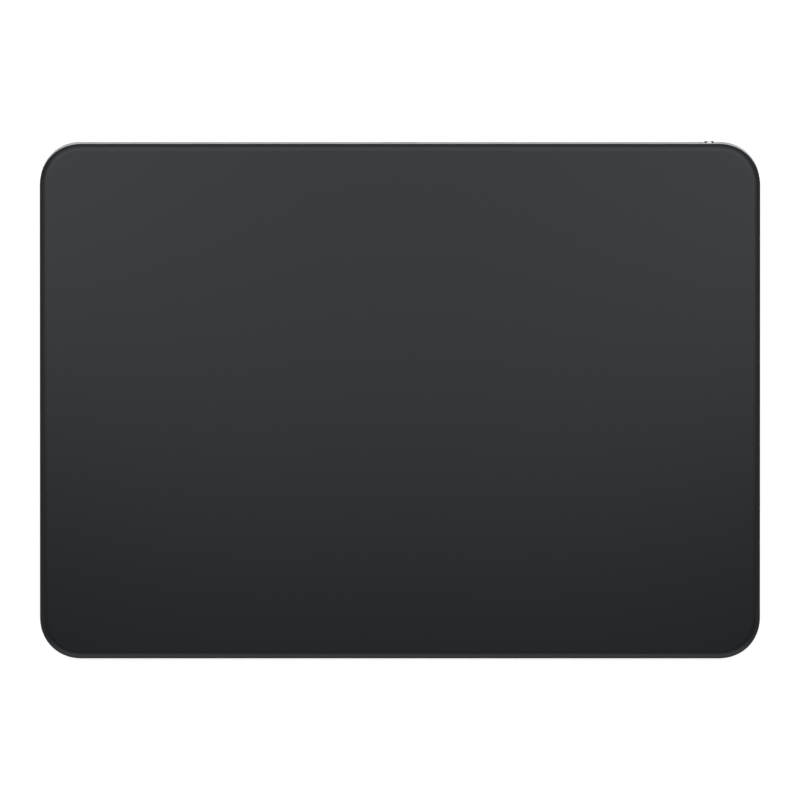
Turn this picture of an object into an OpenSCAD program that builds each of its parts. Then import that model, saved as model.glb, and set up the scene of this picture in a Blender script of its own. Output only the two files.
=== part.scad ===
// A desk trackpad: a sloping glass plate on a machined case, with force-sensing feet, a haptic
// actuator, two battery cells, a charging socket and a slide switch in the rear wall.
// Millimetres. +X right, +Y to the rear, +Z up, z = 0 on the desk.

/* [Overall] */
// Width of the glass, left to right
pad_w = 160; // [154:1:200]
// Depth of the glass, measured along its slope
pad_d = 114.55; // [112:0.05:140]
// Plan radius of the four corners
corner_r = 8.8; // [7.5:0.1:11]
// Height of the glass plane above the desk at the front edge
front_h = 4.9; // [4.8:0.1:6]
// Height of the glass plane above the desk at the rear edge
rear_h = 10.9; // [10:0.1:13]

/* [Glass] */
// Thickness of the cover glass
glass_t = 1.15; // [1:0.05:1.3]
// Width of the rolled edge of the glass
glass_roll_w = 1.6; // [1:0.1:2.4]
// Drop of the rolled edge at the rim
glass_roll_h = 0.65; // [0.3:0.05:0.8]
// Thickness of the adhesive frame under the glass
glass_bond_t = 0.15; // [0.1:0.05:0.2]
// Width of the adhesive frame under the glass
glass_bond_w = 1.4; // [1:0.1:1.6]
// Gap left between bonded or seated faces
seat_gap = 0.02; // [0.01:0.01:0.04]
// Thickness of the touch board
touch_t = 0.6; // [0.4:0.05:0.7]
// Gap between the touch board and the rim round it
touch_gap = 0.6; // [0.3:0.1:1.5]
// Room between the touch board and the deck
touch_room = 0.3; // [0.25:0.05:0.4]
// Side of the larger touch controller chip
touch_chip = 7; // [5:0.5:9]
// Side of the smaller touch controller chip
touch_chip_small = 5; // [3:0.5:6]
// Height of the touch controller chips
touch_chip_h = 0.7; // [0.5:0.1:1]
// Gap between the touch controller chips
touch_chip_gap = 1; // [0.5:0.1:2]
// Distance of the touch controller chips from the rear edge of the glass
touch_chip_rear = 76.4; // [74:0.1:84]

/* [Case] */
// Overhang of the glass past the case wall
case_inset = 0.05; // [0.02:0.01:0.2]
// Width of the rim that carries the glass
rim_w = 2.2; // [2:0.1:3]
// Thickness of the deck under the touch board
deck_t = 0.9; // [0.8:0.05:1]
// Thickness of the wall above the bottom cover
wall_t = 3.2; // [3:0.1:3.6]
// Thickness of the wall round the bottom cover
skirt_t = 1.5; // [1.2:0.05:1.6]
// Height of the underside of the case above the desk
case_lift = 0.6; // [0.5:0.05:0.7]
// Width of the rolled lower edge of the case
base_roll_w = 0.9; // [0.6:0.1:1.2]
// Height of the rolled lower edge of the case
base_roll_h = 0.5; // [0.3:0.1:0.7]
// Thickness of the bottom cover
cover_t = 0.9; // [0.8:0.05:1]
// Gap round the bottom cover
cover_gap = 0.2; // [0.1:0.05:0.3]
// Sink of the bottom cover below the case edge
cover_sink = 0.05; // [0:0.01:0.1]
// Thickness of the adhesive frame over the bottom cover
cover_bond_t = 0.1; // [0.05:0.01:0.12]
// Width of the adhesive frame over the bottom cover
cover_bond_w = 1.1; // [0.8:0.05:1.2]

/* [Feet] */
// Distance of the feet from the side edges of the glass
foot_side = 18; // [16.5:0.5:22]
// Distance of the feet from the front and rear edges of the glass
foot_end = 14; // [13.5:0.5:18]
// Diameter of the rubber pad
foot_d = 9; // [7:0.5:10]
// Height of the rubber pad
foot_h = 1.2; // [1.1:0.05:1.25]
// Width of the rounded lower edge of the pad
foot_edge_w = 0.35; // [0.2:0.05:0.5]
// Height of the rounded lower edge of the pad
foot_edge_h = 0.28; // [0.15:0.01:0.35]
// Gap between a pad and its hole in the bottom cover
foot_gap = 0.4; // [0.3:0.1:0.8]
// Diameter of the plunger over the pad
plunger_d = 7; // [5:0.5:7.5]
// Height of the plunger under the leaf
plunger_h = 0.81; // [0.75:0.01:0.85]
// Diameter of the rivet stud through the leaf
stud_d = 2.4; // [2:0.1:3]
// Diameter of the rivet head
rivet_d = 4.4; // [4:0.1:5.5]
// Height of the rivet head
rivet_h = 0.3; // [0.2:0.05:0.35]
// Thickness of the leaf spring
leaf_t = 0.4; // [0.3:0.05:0.42]
// Width of the leaf spring
leaf_w = 7; // [6:0.5:8]
// Reach of the leaf past the middle of the foot
leaf_tip = 3.6; // [3:0.1:4.5]
// Clear length of the leaf from the foot to its shelf
leaf_l = 9.6; // [9:0.1:10.4]
// Length of the clamped end of the leaf
leaf_clamp = 4.4; // [3.8:0.1:4.6]
// Radius of the notches that form the waist of the leaf
waist_r = 1.4; // [0.8:0.1:1.8]
// Side of a strain gauge
gauge_w = 2.4; // [1.5:0.1:2.8]
// Thickness of a strain gauge
gauge_t = 0.1; // [0.05:0.01:0.12]

/* [Clearances] */
// Clearance between pieces that only pass each other
pass_gap = 0.8; // [0.6:0.1:1]
// Clearance round pieces that sit in a pocket
pocket_gap = 0.3; // [0.2:0.05:0.4]

/* [Fasteners] */
// Shank diameter of the screws
screw_d = 1.2; // [1:0.1:1.4]
// Head diameter of the screws
screw_head_d = 2.2; // [2:0.1:2.4]
// Head height of the screws
screw_head_h = 0.35; // [0.3:0.05:0.38]
// Length of thread in the case
screw_bite = 0.7; // [0.5:0.05:0.75]
// Clearance round a shank in a hole
screw_gap = 0.1; // [0.05:0.05:0.2]
// Width of the slot in a screw head
screw_slot = 0.3; // [0.2:0.05:0.4]
// Diameter of the bosses under the deck
boss_d = 3; // [2.6:0.1:3.4]

/* [Ribbons] */
// Thickness of the flat ribbons
ribbon_t = 0.12; // [0.08:0.01:0.14]
// Width of the ribbons that plug into the main board
ribbon_w = 4; // [3:0.1:4.4]
// Width of the force ribbon along the sides
force_w = 2.6; // [2:0.1:2.8]
// Width of the switch ribbon
switch_ribbon_w = 2.5; // [1.5:0.1:3]

/* [Battery] */
// Width of a battery cell
cell_w = 40; // [30:1:45]
// Depth of a battery cell
cell_d = 34; // [28:1:38]
// Thickness of a battery cell
cell_t = 2.4; // [1.8:0.1:2.5]
// Corner radius of a battery cell
cell_r = 1.5; // [0.5:0.1:3]
// Gap between the cells and the actuator
cell_side = 2.4; // [1:0.1:3]
// Distance of the rear edge of the cells from the rear edge of the glass
cell_rear = 28.2; // [28:0.1:29]
// Inset of the cell adhesive from the cell's edges
cell_bond_in = 2; // [1:0.5:6]
// Thickness of the cell adhesive
cell_bond_t = 0.1; // [0.05:0.01:0.2]
// Depth of the protection board
guard_d = 2.6; // [2:0.1:2.8]
// Length of the protection board
guard_l = 29; // [20:1:32]
// Thickness of the protection board
guard_t = 0.5; // [0.4:0.05:0.6]
// Gap between the cells and the protection board
guard_gap = 0.4; // [0.3:0.05:0.5]
// Length of a chip on the protection board
guard_chip = 3; // [2:0.1:4]
// Pitch of the chips on the protection board
guard_pitch = 7; // [5:0.5:9]

/* [Main board] */
// Width of the main board
board_w = 31; // [31:0.5:32]
// Depth of the main board
board_d = 17; // [16:0.5:17]
// Thickness of the main board
board_t = 0.8; // [0.6:0.05:1]
// Distance of the right end of the main board from the middle
board_x = 10; // [9.6:0.1:10.4]
// Gap between the main board and the rear wall
board_gap = 1; // [0.6:0.1:1.4]
// Length of the bosses that carry the main board
board_boss = 0.8; // [0.6:0.05:1]
// Distance of the board screws from the board edges
board_screw = 1.9; // [1.6:0.1:2.2]
// Length of a ribbon connector
plug_l = 5; // [4.6:0.1:5.4]
// Depth of a ribbon connector
plug_d = 1.6; // [1.2:0.1:2]
// Height of a ribbon connector
plug_h = 0.9; // [0.7:0.05:1.1]
// Inset of the ribbon connectors from the edges of the board
plug_in = 1; // [0.8:0.1:1.2]
// Gap between neighbouring ribbon connectors
plug_gap = 1; // [0.8:0.1:1.2]
// Distance from the board to the line where the ribbons turn down
ribbon_bend = 1.5; // [1.2:0.1:1.6]
// Side of the processor chip
cpu_w = 6; // [4:0.5:7]
// Distance of the processor from the left end of the board
cpu_x = 6; // [5:0.5:7]
// Distance of the processor from the rear edge of the board
cpu_rear = 2; // [1.5:0.1:2.5]
// Height of the chips on the main board
chip_h = 0.9; // [0.6:0.1:1.2]
// Side of the small parts on the main board
part_w = 1.4; // [1:0.1:1.6]
// Pitch of the small parts on the main board
part_pitch = 2.2; // [1.8:0.1:2.4]
// Side of the radio chip under the shield can
radio_w = 3.4; // [2:0.1:4]
// Width of the shield can
can_w = 8; // [6:0.5:8]
// Depth of the shield can
can_d = 6.5; // [5:0.5:7]
// Height of the shield can
can_h = 1.5; // [1.3:0.1:1.8]
// Sheet thickness of the shield can
can_t = 0.2; // [0.15:0.05:0.3]
// Distance of the shield can from the right end of the board
can_x = 4; // [3.8:0.1:4.4]
// Distance of the shield can from the rear edge of the board
can_rear = 5; // [4.5:0.1:5.4]
// Distance of the socket connector from the right end of the board
socket_plug_in = 1.8; // [1.4:0.1:2]
// Distance of the socket connector from the front edge of the board
socket_plug_front = 1.8; // [1:0.1:2]
// Reach of the socket connector below the socket ribbon
socket_plug_drop = 0.6; // [0.4:0.1:0.8]

/* [Actuator] */
// Width of the actuator lid
act_w = 36; // [34:0.5:38]
// Depth of the actuator lid
act_d = 20; // [18:0.5:21]
// Distance of the middle of the actuator from the rear edge of the glass
act_rear = 38.2; // [38:0.1:39]
// Sheet thickness of the actuator base
act_base_t = 0.4; // [0.3:0.05:0.5]
// Sheet thickness of the actuator lid
act_lid_t = 0.3; // [0.2:0.05:0.4]
// Length of the screw ears of the actuator
act_ear = 3.6; // [3.2:0.1:3.8]
// Height of the coils
coil_h = 0.7; // [0.5:0.05:0.8]
// Width of a coil
coil_w = 12; // [10:0.5:13]
// Depth of a coil
coil_d = 13; // [10:0.5:14]
// Width of the winding of a coil
coil_band = 3; // [2:0.1:3.5]
// Inner corner radius of a coil
coil_r = 0.6; // [0.3:0.1:1]
// Gap between the two coils
coil_gap = 0.8; // [0.4:0.1:1.5]
// Air gap between the coils and the magnets
air_gap = 0.25; // [0.2:0.05:0.3]
// Height of the magnets
magnet_h = 0.5; // [0.4:0.05:0.6]
// Width of a magnet
magnet_w = 5; // [3:0.5:5]
// Depth of a magnet
magnet_d = 11; // [8:0.5:12]
// Height of the armature plate
arm_h = 0.8; // [0.6:0.05:0.9]
// Width of the armature plate
arm_w = 27; // [26:0.5:28]
// Depth of the armature plate
arm_d = 12; // [11:0.5:13]
// Corner radius of the armature plate
arm_r = 1; // [0.5:0.1:2]
// Length of the lugs of the armature
lug_l = 1.2; // [0.8:0.1:1.3]
// Width of the lugs of the armature
lug_w = 2; // [1.5:0.1:2.5]
// Width of the posts that hold the armature springs
post_w = 1; // [0.8:0.1:1.1]
// Depth of the posts that hold the armature springs
post_d = 1.6; // [1.2:0.1:2]
// Thickness of the armature springs
arm_spring_t = 0.2; // [0.1:0.05:0.25]
// Length of an armature spring between its post and its lug
arm_spring_l = 15; // [12:0.5:15.5]
// Room under the armature
arm_room = 0.35; // [0.3:0.05:0.4]
// Inset of the actuator ribbon from the side of the lid
act_ribbon_in = 1.2; // [1:0.1:1.5]
// Drop of the actuator ribbon below the base
act_ribbon_drop = 0.15; // [0.1:0.05:0.2]

/* [Charging socket] */
// Depth of the socket axis below the glass plane
port_depth = 5.8; // [5.6:0.05:6.1]
// Width of the socket mouth
port_w = 6.7; // [6:0.1:7.2]
// Height of the socket mouth
port_h = 2; // [1.8:0.1:2.2]
// Wall of the liner round the mouth
liner_t = 0.3; // [0.2:0.05:0.4]
// Clearance of the liner in the case
liner_gap = 0.05; // [0.03:0.01:0.1]
// Sink of the liner below the rear wall
liner_sink = 0.1; // [0:0.05:0.3]
// Thickness of the wall that the mouth goes through
port_wall = 1.2; // [1:0.05:1.6]
// Length of the socket insert
port_l = 9; // [8:0.1:9.4]
// Depth of the mouth in the insert
port_reach = 7.5; // [6:0.1:7.8]
// Wall of the insert round the mouth
port_side = 0.65; // [0.5:0.05:0.8]
// Sheet thickness of the socket shell
shell_t = 0.2; // [0.15:0.05:0.3]
// Length of the insert that stands out behind the shell
shell_back = 0.5; // [0.3:0.1:1]
// Pitch of the contacts
contact_pitch = 0.6; // [0.5:0.02:0.62]
// Width of a contact
contact_w = 0.35; // [0.2:0.05:0.45]
// Thickness of a contact
contact_t = 0.12; // [0.08:0.01:0.2]
// Length of a contact
contact_l = 6; // [4:0.1:7]
// Sheet thickness of the strap that holds the socket
strap_t = 0.4; // [0.3:0.05:0.5]
// Depth of the strap
strap_d = 4; // [3:0.1:4.5]
// Length of the ears of the strap
strap_ear = 3.4; // [3:0.1:3.6]

/* [Antenna] */
// Length of the antenna carrier
antenna_l = 28; // [20:1:34]
// Depth of the antenna carrier
antenna_d = 6; // [4:0.5:6.5]
// Height of the antenna carrier
antenna_h = 2; // [1.5:0.1:2.4]
// Distance of the antenna carrier from the middle
antenna_x = 12; // [11:0.5:14]
// Thickness of the antenna foil
foil_t = 0.1; // [0.05:0.01:0.15]
// Width of the antenna track
foil_w = 1.2; // [0.8:0.1:1.4]
// Inset of the antenna track from the edges of the carrier
foil_in = 0.5; // [0.3:0.1:0.8]
// Width of the tab that the antenna cable is soldered to
tab_w = 4; // [3:0.1:5]
// Depth of the tab that the antenna cable is soldered to
tab_d = 1.8; // [1.4:0.1:2]
// Reach of the antenna cable under the main board
coax_lap = 1.4; // [1:0.1:1.6]
// Diameter of the antenna cable
coax_d = 0.8; // [0.6:0.1:0.9]

/* [Switch] */
// Distance of the switch slot from the right edge of the glass
switch_side = 12.45; // [12:0.05:14]
// Depth of the switch axis below the glass plane
switch_depth = 5.8; // [5.6:0.05:6.1]
// Travel of the slider
switch_travel = 2.25; // [1.5:0.05:2.4]
// Width of the nub
nub_w = 2; // [1.5:0.1:2.4]
// Height of the nub
nub_h = 1.2; // [0.8:0.1:1.4]
// Stand of the nub out of the rear wall
nub_out = 0.39; // [0.2:0.01:0.6]
// Running clearance of the slider
slide_gap = 0.12; // [0.08:0.01:0.15]
// Thickness of the wall that the slot goes through
switch_wall = 1; // [0.9:0.05:1.3]
// Thickness of the slider plate
slider_t = 0.8; // [0.6:0.05:0.9]
// Lap of the slider plate past the ends and sides of the slot
slider_lap = 0.5; // [0.4:0.05:0.6]
// Thickness of the green flag
flag_t = 0.1; // [0.06:0.01:0.2]
// Gap between the rear wall and the switch housing
housing_gap = 1.1; // [1:0.05:1.3]
// Width of the contact shoe of the switch lever
shoe_w = 2.2; // [2:0.1:2.6]
// Width of the switch lever
lever_w = 1.2; // [0.8:0.1:1.4]
// Thickness of the fingers that hold the lever
finger_t = 0.7; // [0.5:0.05:0.8]
// Depth of the switch housing
housing_d = 3; // [2.6:0.1:3.2]
// Height of the switch housing
housing_h = 2.4; // [2:0.1:2.6]
// Wall of the switch housing
housing_t = 0.5; // [0.4:0.05:0.6]
// Sheet thickness of the switch bracket
bracket_t = 0.35; // [0.25:0.05:0.4]
// Length of the screw ears of the switch bracket
bracket_ear = 3; // [2.8:0.1:3.1]
// Length of the lips of the switch bracket beside the housing
lip_h = 1.8; // [1:0.1:2]
// Lap of the switch ribbon on the main board
switch_ribbon_lap = 4; // [2:0.5:5]
// Distance of the switch ribbon from the front edge of the board
switch_ribbon_front = 5.2; // [5:0.1:5.6]

/* [Hidden] */
$fn = 64;
// Slope of the glass, and the heights of the layers as depths below the glass plane
slope = asin((rear_h - front_h) / pad_d);
mid_z = (front_h + rear_h) / 2;
rear_u = pad_d / 2 - case_inset;
chip_u = pad_d / 2 - touch_chip_rear;
front_y = -pad_d / 2 * cos(slope) + glass_roll_h * sin(slope);
nub_y = (rear_u + nub_out) * cos(slope) + switch_depth * sin(slope);
mid_y = -(front_y + nub_y) / 2;
touch_top = glass_t + seat_gap;
touch_low = touch_top + touch_t;
rim_top = glass_t + glass_bond_t + 2 * seat_gap;
deck_top = touch_low + touch_room;
deck_low = deck_top + deck_t;
deck_mid = deck_top + deck_t / 2;
under_deck = deck_low + seat_gap;
wall_in = case_inset + wall_t;
case_reach = rear_h + pad_d * tan(slope);
// Size of cutters that have to pass everything, and how far small cutters pass the faces they cut
far = 3 * pad_w;
over = 1;
lap = 0.1;
// Levels of the bottom cover and of the feet, above the desk
cover_low = case_lift + cover_sink;
cover_high = cover_low + cover_t;
ledge_z = cover_high + cover_bond_t + 2 * seat_gap;
skirt_y = slope_y_at(cover_low + cover_t / 2);
plunger_low = foot_h + seat_gap;
leaf_low = plunger_low + plunger_h + seat_gap;
leaf_high = leaf_low + leaf_t;
rivet_low = leaf_high + seat_gap;
foot_x = pad_w / 2 - foot_side;
foot_front = -pad_d / 2 + foot_end;
foot_rear = pad_d / 2 - foot_end;
shelf_x = foot_x + leaf_l;
leaf_end = shelf_x + leaf_clamp;
leaf_screw_x = shelf_x + leaf_clamp / 2;
leaf_screw_y = leaf_w / 4;
waist_x = foot_x + plunger_d / 2 + (leaf_l - plunger_d / 2) / 2;
gauge_low = leaf_low - seat_gap - gauge_t;
force_high = gauge_low - seat_gap;
force_low = force_high - ribbon_t;
// Main board, its connectors and the line where the ribbons turn down
board_top = deck_low + board_boss + seat_gap;
board_low = board_top + board_t;
board_rear = rear_u - wall_t - board_gap;
board_front = board_rear - board_d;
chip_top = board_low + seat_gap;
plug_face = board_front + plug_in;
plug_level = chip_top + plug_h / 2 + ribbon_t / 2;
drop_u = board_front - ribbon_bend;
board_holes = [[-board_x - board_screw, board_rear - board_screw],
               [-board_x - board_w + board_screw, board_rear - board_screw],
               [-board_x - board_w + board_screw, board_rear - board_d / 2 - board_screw]];
plug_pitch = plug_l + plug_gap;
battery_plug = -board_x - board_w + plug_l / 2 + plug_in / 2;
touch_plug = battery_plug + plug_pitch;
force_plug = touch_plug + plug_pitch;
act_plug = -act_w / 2 + ribbon_w / 2 + act_lid_t + act_ribbon_in;
// Battery cells
cell_x = act_w / 2 + act_ear + cell_side + cell_w / 2;
cell_u = pad_d / 2 - cell_rear - cell_d / 2;
cell_top = under_deck + cell_bond_t + seat_gap;
cell_edge = cell_u + cell_d / 2;
guard_u = cell_edge + guard_gap;
guard_end = battery_plug + ribbon_w / 2;
link_u = guard_u + guard_gap;
// Haptic actuator
act_u = pad_d / 2 - act_rear;
act_base_low = under_deck + act_base_t;
coil_top = act_base_low + seat_gap;
magnet_top = coil_top + coil_h + air_gap;
arm_top = magnet_top + magnet_h + seat_gap;
arm_low = arm_top + arm_h;
lid_low = arm_low + arm_room + act_lid_t;
lug_x = arm_w / 2 + lug_l;
spring_x = lug_x + seat_gap + arm_spring_t / 2;
spring_end = arm_spring_l / 2;
act_hole = act_w / 2 + act_ear / 2;
// Charging socket
port_back = rear_u - port_wall - seat_gap - port_l;
insert_w = port_w + 2 * port_side;
insert_h = port_h + 2 * port_side;
shell_w = insert_w + 2 * (shell_t + seat_gap);
shell_h = insert_h + 2 * (shell_t + seat_gap);
strap_u = port_back + port_l / 2 - strap_d / 2;
strap_top = port_depth - shell_h / 2 + pocket_gap;
strap_hole = shell_w / 2 + strap_t + strap_ear / 2;
// Switch
slot_w = nub_w + switch_travel + 2 * slide_gap;
slot_h = nub_h + 2 * slide_gap;
slot_right = pad_w / 2 - switch_side + slot_w / 2;
nub_x = slot_right - slide_gap - nub_w / 2;
plate_left = slot_right - slot_w - slider_lap;
plate_right = slot_right + slider_lap + switch_travel;
plate_h = slot_h + 2 * slider_lap;
slider_face = rear_u - switch_wall - slide_gap;
slider_back = slider_face - slider_t;
lever_x = (plate_left + plate_right) / 2;
housing_face = rear_u - wall_t - housing_gap;
housing_back = housing_face - housing_d;
shoe_h = housing_h - 2 * housing_t - 2 * slide_gap;
housing_left = lever_x - shoe_w / 2 - switch_travel - slide_gap - housing_t;
housing_right = lever_x + shoe_w / 2 + slide_gap + housing_t;
housing_top = switch_depth - housing_h / 2;
bracket_low = housing_top - seat_gap;
bracket_top = bracket_low - bracket_t;
lip_left = housing_left - seat_gap - bracket_t;
lip_right = housing_right + seat_gap + bracket_t;
bracket_u = (housing_face + housing_back) / 2;

// Height over the desk of a point on a plane parallel to the glass
function plane_z(y, depth) = mid_z + (y - mid_y) * tan(slope) - depth / cos(slope);
// Middle of the case outline, cut level at a height over the desk
function slope_y_at(z) = mid_y + (mid_z - z) * tan(slope);
// Depth below the glass plane of a height over the desk
function depth_at(u, z) = (mid_z + u * sin(slope) - z) / cos(slope);
// Distance to the rear of a point on the slope
function level_y(u, depth) = mid_y + u * cos(slope) + depth * sin(slope);

// Places its children in the frame of the glass plane: z = 0 on the glass, y up the slope
module on_slope() {
    translate([0, mid_y, mid_z]) rotate([slope, 0, 0]) children();
}

// A box between two opposite corners
module between(low, high) {
    translate(low) cube(high - low);
}

// A box on the slope, with its top and bottom given as depths below the glass
module layer(x, u, depths) {
    between([x[0], u[0], -depths[1]], [x[1], u[1], -depths[0]]);
}

module rounded(w, d, r) {
    square([w - 2 * r, d], center = true);
    square([w, d - 2 * r], center = true);
    for (x = [-1, 1], y = [-1, 1])
        translate([x * (w / 2 - r), y * (d / 2 - r)]) circle(r);
}

module pill(w, h) {
    square([w - h, h], center = true);
    for (x = [-1, 1]) translate([x * (w - h) / 2, 0]) circle(h / 2);
}

// A pill-shaped bar along the slope, between two places on it
module pill_bar(w, h, from, to, depth) {
    translate([0, to, -depth]) rotate([90, 0, 0]) linear_extrude(to - from) pill(w, h);
}

// The plan of the glass, drawn in by an inset
module outline(inset) {
    rounded(pad_w - 2 * inset, pad_d - 2 * inset, corner_r - inset);
}

// The plan of the case at the level of the bottom cover, drawn in by an inset
module level_outline(inset) {
    rounded(pad_w - 2 * inset, pad_d / cos(slope) - 2 * inset, corner_r - inset);
}

// Half section of a plate with an arc rolled over its upper edge, top at zero
module rolled_profile(reach, t, roll_w, roll_h) {
    roll_r = (roll_w * roll_w + roll_h * roll_h) / (2 * roll_h);
    translate([0, -t]) square([reach - roll_w, t]);
    intersection() {
        translate([reach - roll_w, -t]) square([roll_w, 2 * t]);
        translate([reach - roll_w, -roll_r]) circle(roll_r);
    }
}

module rolled_plate(w, d, r, t, roll_w, roll_h) {
    x = w / 2 - r;
    y = d / 2 - r;
    translate([-x, -y, -t]) cube([2 * x, 2 * y, t]);
    for (turn = [0, 180]) {
        rotate([0, 0, turn]) translate([x, 0, 0]) rotate([90, 0, 0])
            linear_extrude(2 * y, center = true) rolled_profile(r, t, roll_w, roll_h);
        rotate([0, 0, turn + 90]) translate([y, 0, 0]) rotate([90, 0, 0])
            linear_extrude(2 * x, center = true) rolled_profile(r, t, roll_w, roll_h);
    }
    for (corner = [[x, y, 0], [-x, y, 90], [-x, -y, 180], [x, -y, 270]])
        translate([corner[0], corner[1], 0]) rotate([0, 0, corner[2]])
            rotate_extrude(angle = 90) rolled_profile(r, t, roll_w, roll_h);
}

// A screw pointing up, with the seat of its head at zero
module screw(grip) {
    difference() {
        union() {
            translate([0, 0, -screw_head_h]) cylinder(d = screw_head_d, h = screw_head_h);
            cylinder(d = screw_d, h = grip + screw_bite);
        }
        translate([-screw_head_d, -screw_slot / 2, -2 * screw_head_h])
            cube([2 * screw_head_d, screw_slot, 1.5 * screw_head_h]);
    }
}

// Screws in the frame of the slope, seated at a depth below the glass
module slope_screws(places, depth, grip) {
    on_slope() for (p = places) translate([p[0], p[1], -depth]) screw(grip);
}

// A flat ribbon that runs along the slope, turns down and meets a connector of the main board
module drop_ribbon(x, start, level) {
    on_slope() {
        layer([x - ribbon_w / 2, x + ribbon_w / 2], [start, drop_u], [level, level + ribbon_t]);
        layer([x - ribbon_w / 2, x + ribbon_w / 2], [drop_u - ribbon_t, drop_u], [level, plug_level]);
        layer([x - ribbon_w / 2, x + ribbon_w / 2], [drop_u - ribbon_t, plug_face - seat_gap],
              [plug_level - ribbon_t, plug_level]);
    }
}

module cover_glass() {
    color("#2f3133") on_slope()
        rolled_plate(pad_w, pad_d, corner_r, glass_t, glass_roll_w, glass_roll_h);
}

module glass_adhesive() {
    color("#151515") on_slope() translate([0, 0, -rim_top + seat_gap])
        linear_extrude(glass_bond_t) difference() {
            outline(case_inset + (rim_w - glass_bond_w) / 2);
            outline(case_inset + (rim_w + glass_bond_w) / 2);
        }
}

module touch_board() {
    color("#1f3b2c") on_slope() translate([0, 0, -touch_low])
        linear_extrude(touch_t) outline(case_inset + rim_w + touch_gap);
}

module touch_chips() {
    color("#202022") on_slope() for (chip = [[-1, touch_chip], [1, touch_chip_small]])
        translate([chip[0] * (chip[1] + touch_chip_gap) / 2, chip_u,
                   -touch_low - seat_gap - touch_chip_h / 2])
            cube([chip[1], chip[1], touch_chip_h], center = true);
}

module touch_ribbon() {
    color("#b9772e") drop_ribbon(touch_plug, drop_u - 2 * ribbon_w, touch_low + seat_gap);
}

// The outside of the case: walls square to the glass, cut level below, with a rolled lower edge
module case_block() {
    difference() {
        on_slope() translate([0, 0, -case_reach])
            linear_extrude(case_reach - rim_top) outline(case_inset);
        difference() {
            translate([-far / 2, -far / 2, case_lift + base_roll_h - far]) cube(far);
            translate([0, slope_y_at(case_lift), case_lift]) mirror([0, 0, 1])
                rolled_plate(pad_w - 2 * case_inset + 2 * lap,
                             (pad_d - 2 * case_inset) / cos(slope) + 2 * lap,
                             corner_r - case_inset - lap, 2 * base_roll_h, base_roll_w, base_roll_h);
        }
    }
}

// What hangs from the deck: bosses, leaf shelves and the rest over the socket
module case_bosses() {
    for (p = board_holes)
        on_slope() translate([p[0], p[1], -board_top + seat_gap])
            cylinder(d = boss_d, h = board_top - seat_gap - deck_mid);
    for (x = [-strap_hole, strap_hole])
        on_slope() translate([x, strap_u + strap_d / 2, -strap_top + seat_gap])
            cylinder(d = boss_d, h = strap_top - seat_gap - deck_mid);
    for (x = switch_holes())
        on_slope() translate([x, bracket_u, -bracket_top + seat_gap])
            cylinder(d = boss_d, h = bracket_top - seat_gap - deck_mid);
    on_slope() layer([-shell_w / 4, shell_w / 4], [strap_u, strap_u + strap_d],
                     [deck_mid, port_depth - shell_h / 2 - seat_gap]);
    intersection() {
        on_slope() translate([0, 0, -case_reach])
            linear_extrude(case_reach - deck_mid) outline(wall_in - wall_t / 2);
        for (side = [-1, 1], y = [foot_front, foot_rear])
            translate([side * (shelf_x + far / 2), y, leaf_high + seat_gap + far / 2])
                cube([far, leaf_w + pass_gap, far], center = true);
    }
}

function switch_holes() = [lip_left - bracket_ear / 2, lip_right + bracket_ear / 2];

// Screw holes, the openings of the deck, and the holes in the rear wall
module case_holes() {
    pilot = screw_d + screw_gap;
    for (side = [-1, 1], y = [foot_front, foot_rear]) {
        for (row = [-1, 1])
            translate([side * leaf_screw_x, y + row * leaf_screw_y, leaf_high])
                cylinder(d = pilot, h = screw_bite + seat_gap + lap);
        translate([side * (foot_x + (leaf_l - leaf_tip) / 2), y, plane_z(y, deck_mid)])
            cube([leaf_l + leaf_tip + pass_gap, leaf_w + 2 * pass_gap, 2 * deck_t], center = true);
    }
    on_slope() {
        for (p = board_holes) translate([p[0], p[1], -board_top])
            cylinder(d = pilot, h = screw_bite + lap);
        for (x = [-strap_hole, strap_hole]) translate([x, strap_u + strap_d / 2, -strap_top])
            cylinder(d = pilot, h = screw_bite + lap);
        for (x = switch_holes()) translate([x, bracket_u, -bracket_top])
            cylinder(d = pilot, h = screw_bite + lap);
        for (p = act_holes()) translate([p[0], p[1], -deck_low - lap])
            cylinder(d = pilot, h = screw_bite + 1.5 * lap);
        layer([touch_plug - ribbon_w / 2 - pass_gap, touch_plug + ribbon_w / 2 + pass_gap],
              [drop_u - ribbon_t - pass_gap, drop_u + pass_gap], [deck_top - lap, deck_low + lap]);
        layer([-touch_chip - touch_chip_gap / 2 - pass_gap,
               touch_chip_small + touch_chip_gap / 2 + pass_gap],
              [chip_u - touch_chip / 2 - pass_gap, chip_u + touch_chip / 2 + pass_gap],
              [deck_top - lap, deck_low + lap]);
        pill_bar(port_w + 2 * liner_t + 2 * liner_gap, port_h + 2 * liner_t + 2 * liner_gap,
                 port_back, rear_u + over, port_depth);
        layer([-shell_w / 2 - pocket_gap, shell_w / 2 + pocket_gap], [port_back, rear_u - port_wall],
              [port_depth - shell_h / 2 - seat_gap, port_depth + shell_h / 2 + pocket_gap]);
        translate([slot_right - slot_w / 2, 0, 0])
            pill_bar(slot_w, slot_h, slider_back, rear_u + over, switch_depth);
        layer([plate_left - switch_travel - pocket_gap, plate_right + pocket_gap],
              [rear_u - wall_t - over, rear_u - switch_wall],
              [switch_depth - plate_h / 2 - slide_gap, switch_depth + plate_h / 2 + slide_gap]);
    }
}

module case() {
    color("#c9cacb") difference() {
        union() {
            difference() {
                case_block();
                on_slope() translate([0, 0, -deck_top])
                    linear_extrude(deck_top) outline(case_inset + rim_w);
                on_slope() translate([0, 0, -2 * case_reach])
                    linear_extrude(2 * case_reach - deck_low) outline(wall_in);
                translate([0, skirt_y, 0]) linear_extrude(ledge_z) level_outline(case_inset + skirt_t);
            }
            case_bosses();
        }
        case_holes();
    }
}

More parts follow.
